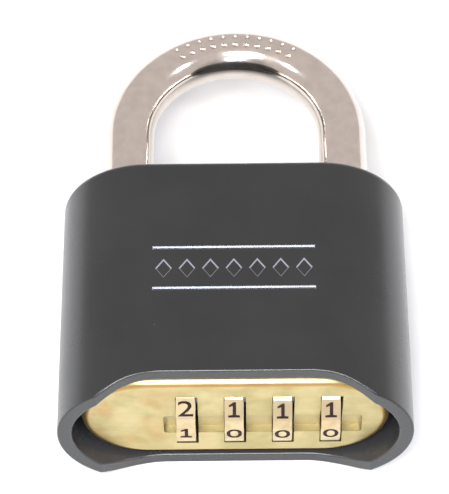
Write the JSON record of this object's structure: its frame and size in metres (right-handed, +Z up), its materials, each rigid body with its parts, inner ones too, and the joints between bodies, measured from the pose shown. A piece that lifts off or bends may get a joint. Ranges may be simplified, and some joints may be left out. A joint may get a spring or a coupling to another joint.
{
  "type": "combination padlock",
  "caption": "Padlock with numbered wheels set into one end of an oval cast body, and a round chrome shackle that lifts out of the other end.",
  "frame": {"origin": "bottom centre of the overall box: the padlock lies on its flat back, on Z = 0", "axes": "+X along the number wheels, +Y from the dial end towards the shackle, +Z up out of the front face"},
  "size_m": [0.0508, 0.0728, 0.025],
  "materials": {
    "shell_paint": "satin dark grey paint on die-cast zinc",
    "housing_brass": "pale worn brass",
    "wheel_brass": "pale polished brass with dark filled numerals",
    "cam_brass": "turned brass",
    "steel": "plain machined steel",
    "spring_steel": "spring steel",
    "bolt_steel": "hardened steel",
    "die_cast_zinc": "bare die-cast zinc",
    "shackle_chrome": "bright chrome plate on hardened steel"
  },
  "bodies": {
    "case": {"outer_shell": "shell_paint", "dial_housing": "housing_brass", "wheel_spindle": "steel", "spindle_clip": "spring_steel", "wheel_spacers": "steel", "detent_spring": "spring_steel", "fence_bar": "steel", "fence_pin": "steel", "fence_springs": "spring_steel", "lock_frame": "die_cast_zinc", "bolt_cover": "steel", "stop_pin": "steel", "housing_screws": "steel", "frame_setscrew": "steel", "shackle_spring": "spring_steel", "bolt_spring": "spring_steel"},
    "dial_1": {"number_wheel_1": "wheel_brass", "gate_cam_1": "cam_brass"},
    "dial_2": {"number_wheel_2": "wheel_brass", "gate_cam_2": "cam_brass"},
    "dial_3": {"number_wheel_3": "wheel_brass", "gate_cam_3": "cam_brass"},
    "dial_4": {"number_wheel_4": "wheel_brass", "gate_cam_4": "cam_brass"},
    "shackle": {"shackle": "shackle_chrome"},
    "bolt": {"locking_bolt": "bolt_steel"}
  },
  "joints": [
    {"name": "dial_1_turn", "type": "hinge", "parent": "case", "child": "dial_1", "pos_m": [-0.00705, -0.02842, 0.01206], "axis": [1, 0, 0], "continuous": true},
    {"name": "dial_2_turn", "type": "hinge", "parent": "case", "child": "dial_2", "pos_m": [-0.00018, -0.02842, 0.01206], "axis": [1, 0, 0], "continuous": true},
    {"name": "dial_3_turn", "type": "hinge", "parent": "case", "child": "dial_3", "pos_m": [0.00669, -0.02842, 0.01206], "axis": [1, 0, 0], "continuous": true},
    {"name": "dial_4_turn", "type": "hinge", "parent": "case", "child": "dial_4", "pos_m": [0.01356, -0.02842, 0.01206], "axis": [1, 0, 0], "continuous": true},
    {"name": "shackle_lift", "type": "slide", "parent": "case", "child": "shackle", "axis": [0, 1, 0], "range_m": [0, 0.011], "deforming": ["shackle_spring"]},
    {"name": "bolt_slide", "type": "slide", "parent": "case", "child": "bolt", "axis": [-1, 0, 0], "range_m": [0, 0.0055], "deforming": ["bolt_spring"]}
  ],
  "couplings": [
    {"joint": "bolt_slide", "follows": "shackle_lift", "ratio": 0.5}
  ]
}
